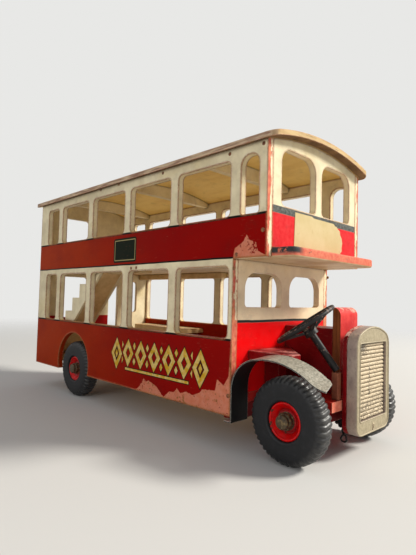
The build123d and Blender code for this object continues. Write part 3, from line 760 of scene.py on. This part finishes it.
def floor_material():
    """The lower floor: tan inside, its nose red and worn salmon at the end."""
    g = Graph("floor_paint")
    coat = g.mottle((214, 178, 116), (184, 146, 92), 20, 171, 0.22, (3, 1, 1))
    nose = g.mottle((196, 44, 34), (160, 26, 24), 12, 172, 0.3)
    coat = g.mix(g.rise(g.x, -1, 0, bulkhead_high.x), coat, nose)
    end = g.times(g.rise(g.x, *thin_skin, floor_high.x), g.rise(g.facing_x, 0.4, 0.7))
    coat = g.mix(end, coat, g.mottle((246, 152, 124), (226, 110, 90), 4, 173, 0.26))
    return chipped(g, coat, gloss=0.5, edges=0.32, under=(236, 178, 150), seed=174)


def modify(node, kind, **settings):
    modifier = node.modifiers.new(kind.lower(), kind)
    for name, value in settings.items():
        setattr(modifier, name, value)


def dress(material, *nodes, width=sanded):
    """Gives CAD nodes a material, and rounds their sharp edges as sanding and paint do."""
    for name in nodes:
        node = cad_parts[name]
        node.data.materials.clear()
        node.data.materials.append(material)
        if width:
            modify(node, "WELD", merge_threshold=weld_distance)
            modify(node, "DECIMATE", decimate_type="DISSOLVE", angle_limit=math.radians(0.5))
            modify(node, "BEVEL", width=width * MM, segments=2, limit_method="ANGLE",
                   angle_limit=math.radians(40), use_clamp_overlap=True)
            modify(node, "WEIGHTED_NORMAL", keep_sharp=False)


def thicken(name, depth):
    """Gives a small turned piece a coat of paint."""
    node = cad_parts[name]
    modify(node, "WELD", merge_threshold=weld_distance)
    modify(node, "DISPLACE", strength=depth * MM, mid_level=0.0)


def settle(name, data, material, body, replaces):
    """Puts a piece in the scene, to ride on a body."""
    data.materials.append(material)
    piece = bpy.data.objects.new(name, data)
    scene.collection.objects.link(piece)
    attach(piece, body)
    if replaces:
        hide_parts(*replaces)


def solid(name, points, faces, material, body="root", sharp=38, replaces=()):
    """A mesh piece from points in millimetres."""
    mesh = bpy.data.meshes.new(name)
    mesh.from_pydata([metres(*point) for point in points], [], faces)
    mesh.validate()
    mesh.shade_smooth()
    mesh.set_sharp_from_angle(angle=math.radians(sharp))
    settle(name, mesh, material, body, replaces)


def arc(centre, radius, start, end, steps):
    """Points along an arc, with angles in degrees."""
    points = []
    for step in range(steps + 1):
        angle = math.radians(start + (end - start) * step / steps)
        points.append((centre[0] + radius * math.cos(angle), centre[1] + radius * math.sin(angle)))
    return points


def wrap(rows, around, first=0, closed=False):
    """Faces over rows of points, each row a loop. The rows join into a ring, or have caps."""
    faces = []
    for row in range(rows if closed else rows - 1):
        start = first + row * around
        following = first + (row + 1) % rows * around
        for place in range(around):
            after = (place + 1) % around
            faces.append((start + place, following + place, following + after, start + after))
    if not closed:
        last = first + (rows - 1) * around
        faces.append(tuple(range(first, first + around)))
        faces.append(tuple(range(last + around - 1, last - 1, -1)))
    return faces


def about(centre, angle, reach, across):
    """A point at an angle about an axle, reach out from it and across along it."""
    return (centre.x + reach * math.cos(angle), centre.y + across, centre.z + reach * math.sin(angle))


def round_part(node):
    """A wheel part's centre, radius and half width."""
    low, high = extent(node)
    return (low + high) / 2, (high.z - low.z) / 2, (high.y - low.y) / 2


def groove(share):
    """The depth at a share of a rib's pitch: 1 in the groove, 0 along the rib."""
    return ((1 + math.cos(2 * math.pi * share)) / 2) ** 1.8


def tyre_section(radius, half, hole):
    """The tyre's section as radius, across and share of the grooves' depth."""
    bead = 2.0
    outer = [(radius, 0), (radius, 1.6)]
    outer += arc((radius - shoulder, half - shoulder), shoulder, 0, 90, 9)
    outer += [(26.5, half + 0.1), (23, half + 0.1), (20, half), (18.6, half - 0.15)]
    outer += arc((hole + bead, half - bead), bead, 90, 180, 3)
    section = []
    for reach, across in outer:
        grip = 0.0
        if reach > radius - shoulder:
            steep = math.degrees(math.asin(min(1, max(0, across - half + shoulder) / shoulder)))
            grip = min(1.0, max(0.0, (86 - steep) / 34))
        section.append((reach, across, grip))
    mirrored = [(reach, -across, grip) for reach, across, grip in section[:0:-1]]
    return mirrored + section


def make_tyre(corner, material):
    """Soft ribs across the tread, with narrow grooves, every other one short."""
    centre, radius, half = round_part("tyre_" + corner)
    section = tyre_section(radius, half, round_part("hub_" + corner)[1])
    seed = Vector((len(corner), 0, 0))
    points = []
    for step in range(rib_count * rib_steps):
        rib = step / rib_steps
        long_groove = round(rib) % 2 == 0
        for reach, across, grip in section:
            sway = rib_sway * math.sin(math.pi * across / half)
            angle = 2 * math.pi * (rib + sway) / rib_count
            tilt = math.radians(0 if abs(across) < half - shoulder else 40)
            bite = grip if long_groove else max(0.0, 1.5 * grip - 0.5)
            spot = Vector((math.cos(angle) * 9, across * 0.4, math.sin(angle) * 9))
            cut = groove_depth * bite * groove(rib) + 0.07 * grip * noise.noise(spot + seed)
            side = across - math.copysign(cut * math.sin(tilt), across)
            points.append(about(centre, angle, reach - cut * math.cos(tilt), side))
    faces = [face[::-1] for face in wrap(rib_count * rib_steps, len(section), closed=True)]
    solid("tread_" + corner, points, faces, material, "wheel_" + corner,
          replaces=("tyre_" + corner,))


def make_hub(corner, material):
    """A dished disc with a rolled lip and a raised ring round the nut."""
    centre, radius, half = round_part("hub_" + corner)
    away = math.copysign(1, centre.y)
    face = [(reach, half - depth) for reach, depth in hub_profile]
    face += arc((14.7, half - 1.0), 1.15, 170, 20, 7)
    face += [(radius, half - 1.6), (radius, 0)]
    section = face + [(reach, -across) for reach, across in reversed(face[:-1])]
    turns = 96
    points = []
    for turn in range(turns):
        angle = 2 * math.pi * turn / turns * away
        points += [about(centre, angle, reach, away * across) for reach, across in section]
    solid("disc_" + corner, points, wrap(turns, len(section), closed=True), material,
          "wheel_" + corner, sharp=50, replaces=("hub_" + corner,))


def make_nuts(material):
    """Washers, nuts and rounded axle ends, which stand out of the hubs."""
    turns = 48
    flat = turns // 6
    points = []
    faces = []
    for corner in corners:
        centre, half = round_part("hub_" + corner)[::2]
        away = math.copysign(1, centre.y)
        faces += wrap(len(nut_rings), turns, len(points))
        for width, height, six_sided in nut_rings:
            for turn in range(turns):
                reach = width / 2
                if six_sided:
                    off_flat = turn % flat / flat - 0.5
                    reach = min(reach / math.cos(math.radians(60 * off_flat)), reach + 0.75)
                angle = 2 * math.pi * turn / turns * away
                points.append(about(centre, angle, reach, away * (half - nut_seat + height)))
    solid("axle_end_nuts", points, faces, material, sharp=25, replaces=("axle_nuts",))


def make_nails(material):
    """Domed nail heads on both side boards."""
    turns = 12
    points = []
    faces = []
    for side in (-1, 1):
        for along, up, radius in nails:
            centre = Vector((along, side * outside, up))
            faces += wrap(len(nail_rings), turns, len(points))[:-1]
            for share, lift in nail_rings:
                for turn in range(turns):
                    angle = 2 * math.pi * turn / turns * side
                    points.append(about(centre, angle, radius * share, side * lift))
            last = len(points) - turns
            points.append(about(centre, 0, 0, side * nail_lift))
            faces += [(last + (turn + 1) % turns, last + turn, last + turns) for turn in range(turns)]
    solid("nail_heads", points, faces, material, sharp=60)


def make_notice(material):
    """The torn, blank notice on the upper front."""
    back = front_high.x + 0.02
    points = [(x, across, up) for x in (back, back + notice_thickness) for across, up in notice_outline]
    solid("front_notice", points, wrap(2, len(notice_outline)), material)


def outline_curve(name, path, thickness, material, replaces=()):
    """A rounded bead that follows a closed path."""
    data = bpy.data.curves.new(name, "CURVE")
    data.dimensions = "3D"
    data.bevel_depth = thickness * MM
    data.bevel_resolution = 3
    line = data.splines.new("POLY")
    line.points.add(len(path) - 1)
    for knot, point in zip(line.points, path):
        knot.co = (*metres(*point), 1)
    line.use_cyclic_u = True
    settle(name, data, material, "root", replaces)


def make_tow_eye(material):
    """Two strands of wire, twisted below the nose, with a loop at their end."""
    low, high = extent("tow_eye")
    middle = (low + high) / 2
    wire = 0.85
    off = 0.6
    strand = [(0.0, off, high.z - 0.5)]
    lobes = 3 * ((0.8, 4.2),) + ((0.9, 4.2), (1.6, 6.4))
    up = high.z
    turn = 0.0
    for width, length in lobes:
        for step in range(1, 7):
            phase = turn + math.pi * step / 6
            strand.append((width * math.sin(phase), off * math.cos(phase), up - length * step / 6))
        turn += math.pi
        up -= length
    depth = up - low.z - wire
    for step in range(1, 9):
        phase = math.pi * step / 8
        drop = (1 - math.cos(phase)) / 2
        width = 2.6 * math.sin(phase) * (0.75 + 0.45 * drop)
        strand.append((-width, off * math.cos(turn) * (1 - drop), up - depth * drop ** 0.85))
    back = [(-along, -across, height) for along, across, height in reversed(strand[:-1])]
    path = [(middle.x + along, middle.y + across, height) for along, across, height in strand + back]
    outline_curve("tow_wire", path, wire, material, ("tow_eye",))


def arched_path(inset):
    """The radiator's outline, inset, as places across and up."""
    half = (shell_high.y - shell_low.y) / 2
    middle = (shell_high.y + shell_low.y) / 2
    rise = 17.0
    corner = 12.5
    low_corner = 10.0 - inset
    spring = shell_high.z - rise
    drop = ((half - corner) ** 2 - (rise - corner) ** 2) / (2 * (rise - corner))
    crown = rise + drop
    meet = math.degrees(math.atan2(drop, half - corner))
    foot = (half - inset - low_corner, shell_low.z + inset + low_corner)
    right = arc(foot, low_corner, 270, 360, 6) + arc((half - corner, spring), corner - inset, 0, meet, 6)
    right += arc((0, spring - drop), crown - inset, meet, 90, 12)[1:]
    left = [(-across, up) for across, up in reversed(right[:-1])]
    return [(middle + across, up) for across, up in right + left]


def make_radiator(metal, dark, bars):
    """Rims on the cast front, its ring, and convex bars before a dark plate, whose colour is painted
    shade.
    """
    front = shell_high.x
    rim = [(front - 0.1, across, up) for across, up in arched_path(0.9)]
    outline_curve("radiator_rim", rim, 0.8, metal)
    corner = 2.2
    inset = 1.8
    (right, left) = (grille_high.y - inset, grille_low.y + inset)
    (top, bottom) = (grille_high.z - inset, grille_low.z + inset)
    opening = []
    for quarter, centre in enumerate(((right, top), (left, top), (left, bottom), (right, bottom))):
        bend = arc(centre, corner, 90 * quarter, 90 * quarter + 90, 5)
        opening += [(front, *point) for point in bend]
    outline_curve("radiator_opening_rim", opening, 0.55, metal)
    middle = (shell_low.y + shell_high.y) / 2
    ring = [(front, middle + 1.3 * across, shell_low.z + 4.8 + 2.6 * up)
            for across, up in arc((0, 0), 1, 0, 345, 23)]
    outline_curve("radiator_ring", ring, 0.65, bars)
    make_bars(bars, dark)


def make_bars(bars, dark):
    """Rolled bars with rounded ends over a plate."""
    pitch = (grille_high.z - grille_low.z) / bar_count
    half = pitch * 0.495
    left = grille_low.y + 0.05
    length = grille_high.y - grille_low.y - 0.1
    plate = grille_high.x - 1.2
    ends = [0.0, 0.15, 0.5, 1.0]
    along = [reach * half for reach in ends]
    along += [half + (length - 2 * half) * step / 40 for step in range(1, 40)]
    along += [length - reach * half for reach in reversed(ends)]
    section = arc((0, 0), 1, 0, 180, 8)
    points = []
    faces = []
    for bar in range(bar_count):
        centre = grille_low.z + pitch * (bar + 0.5)
        faces += wrap(len(along), len(section), len(points))
        for reach in along:
            nearest = min(reach, length - reach)
            shrink = 1.0 if nearest >= half else math.sqrt(max(0.0, 1 - (1 - nearest / half) ** 2))
            bulge = 2.0 + 0.25 * noise.noise(Vector((reach * 0.25, bar * 3.1, 0)))
            bulge += 0.34 * noise.noise(Vector((reach * 0.85, bar * 7.3, 4)))
            for up, out in section:
                points.append((plate - 0.1 + bulge * max(shrink, 0.1) * out, left + reach,
                               centre - half * max(shrink, 0.12) * up))
    solid("radiator_bars", points, faces, bars, sharp=60,
          replaces=("radiator_grille",))
    (low, high) = (grille_low, grille_high)
    # The plate is near black as painted shade: it stands for the dark depth behind the bars.
    outline = ((low.y, low.z), (low.y, high.z), (high.y, high.z), (high.y, low.z))
    points = [(x, across, up) for x in (low.x, plate) for across, up in outline]
    solid("radiator_plate", points, wrap(2, len(outline)), dark)


def make_floor():
    """A pale floor that fades into the surround."""
    mesh = bpy.data.meshes.new("floor")
    rim = [(*point, 0) for point in arc((0, 0), 6, 0, 345, 23)]
    mesh.from_pydata(rim, [], [tuple(range(len(rim)))])
    floor = bpy.data.objects.new("floor", mesh)
    scene.collection.objects.link(floor)
    surface = bpy.data.materials.new("floor")
    tree = Tree(surface)
    fade = tree.rise(tree.length(tree.add("ShaderNodeTexCoord").outputs["Object"]), 0.5, 2.2)
    pale = tree.add("ShaderNodeBsdfDiffuse", {"Color": paint(FLOOR)}).outputs[0]
    clear = tree.add("ShaderNodeBsdfTransparent").outputs[0]
    tree.end("ShaderNodeOutputMaterial", fade, pale, clear)
    mesh.materials.append(surface)


def make_surround():
    """A pale surround that lights the object less than it shows."""
    world = bpy.data.worlds.new("surround")
    tree = Tree(world)
    rays = tree.add("ShaderNodeLightPath").outputs
    seen = tree.either(rays["Is Camera Ray"], rays["Is Glossy Ray"], rays["Is Transmission Ray"])
    light, shown = [tree.add("ShaderNodeBackground", {"Color": paint(colour), "Strength": strength})
                    for colour, strength in ((SURROUND_LIGHT, 0.42), (SURROUND_SEEN, 1.0))]
    tree.end("ShaderNodeOutputWorld", seen, light.outputs[0], shown.outputs[0])
    scene.world = world


def make_lamp(name, place, target, size, power, colour):
    data = bpy.data.lights.new(name, "AREA")
    data.shape = "DISK"
    data.size = size
    data.energy = power
    data.color = colour
    light = bpy.data.objects.new(name, data)
    light.location = place
    light.rotation_euler = (Vector(target) - Vector(place)).to_track_quat("-Z", "Y").to_euler()
    scene.collection.objects.link(light)


def make_camera():
    """The camera at the photograph's viewing angle."""
    data = bpy.data.cameras.new("camera")
    data.sensor_width = sensor
    data.lens = focal_pixels * sensor / photo_height
    data.clip_start = 0.01
    camera = bpy.data.objects.new("camera", data)
    level = Euler((math.radians(90 + camera_elevation), 0, math.radians(camera_azimuth - 90)))
    roll = Euler((0, 0, math.radians(camera_roll)))
    camera.matrix_world = (level.to_matrix() @ roll.to_matrix()).to_4x4()
    camera.location = camera_place
    scene.collection.objects.link(camera)
    scene.camera = camera


rust = rust_material("rusty_steel", RUST, RUST_DARK, (130, 108, 70))
alloy = alloy_material()
cream = cream_material()
black_steel = black_material()
red_dark = plain_material("red_paint", RED_DARK, (130, 16, 20), 160, gloss=0.36)
bench_paint = plain_material("bench_paint", (226, 196, 146), (200, 168, 120), 180)
post_wood = plain_material("post_wood", (152, 92, 66), (112, 58, 46), 200, along="z")

dress(side_material(), "side_right", "side_left")
dress(front_material(), "front_panel_upper")
dress(bulkhead_material(), "bulkhead_lower")
dress(deck_material(), "upper_floor", width=lip_rounding)
dress(floor_material(), "lower_floor")
dress(roof_material(), "roof")
dress(seat_material(), "driver_seat")
dress(board_material(), "bonnet_front_board")
dress(crown_material(), "radiator_board")
dress(post_wood, "steering_post")
dress(red_dark, "bonnet_block", "seat_riser", "front_bearer", "front_axle_block", "rear_axle_block")
dress(bench_paint, "bench_left", "bench_right", "batten_left", "batten_right", "stair_soffit")
dress(cream, "roof_bows", "rear_panel_upper", "rear_panel_lower", "saloon_partition",
      "stair_string_right", "stair_string_left")
dress(cream, "stair_steps", width=thin_rounding)
dress(guard_material(), "mudguard_right", width=thin_rounding)
dress(alloy, "radiator_shell")
dress(black_steel, "steering_column", width=thin_rounding)
dress(black_steel, "steering_wheel", "tow_eye", width=0)
dress(rust, "front_axle", "rear_axle", "axle_nuts", width=0)
thicken("steering_wheel", 0.15)

rubber = rubber_material()
hub_red = hub_material()
for corner in corners:
    make_tyre(corner, rubber)
    make_hub(corner, hub_red)
make_nails(rust_material("nail_rust", (150, 92, 50), (92, 54, 32), (172, 116, 66)))
make_notice(notice_material())
make_nuts(rust)
make_tow_eye(wire_material())
# The radiator plate's near-black paint is painted shade behind the bars.
make_radiator(alloy, plain_material("radiator_plate", (46, 42, 36), (30, 27, 24), 148), bars_material())
make_floor()
make_surround()
make_lamp("key", (2.35, 2.1, 2.28), (0.15, 0, 0.12), size=0.9, power=180, colour=(1.0, 0.96, 0.88))
make_lamp("fill", (0.5, -1.8, 0.7), (0, 0, 0.12), size=1.2, power=6, colour=(0.97, 0.98, 1.0))
make_camera()
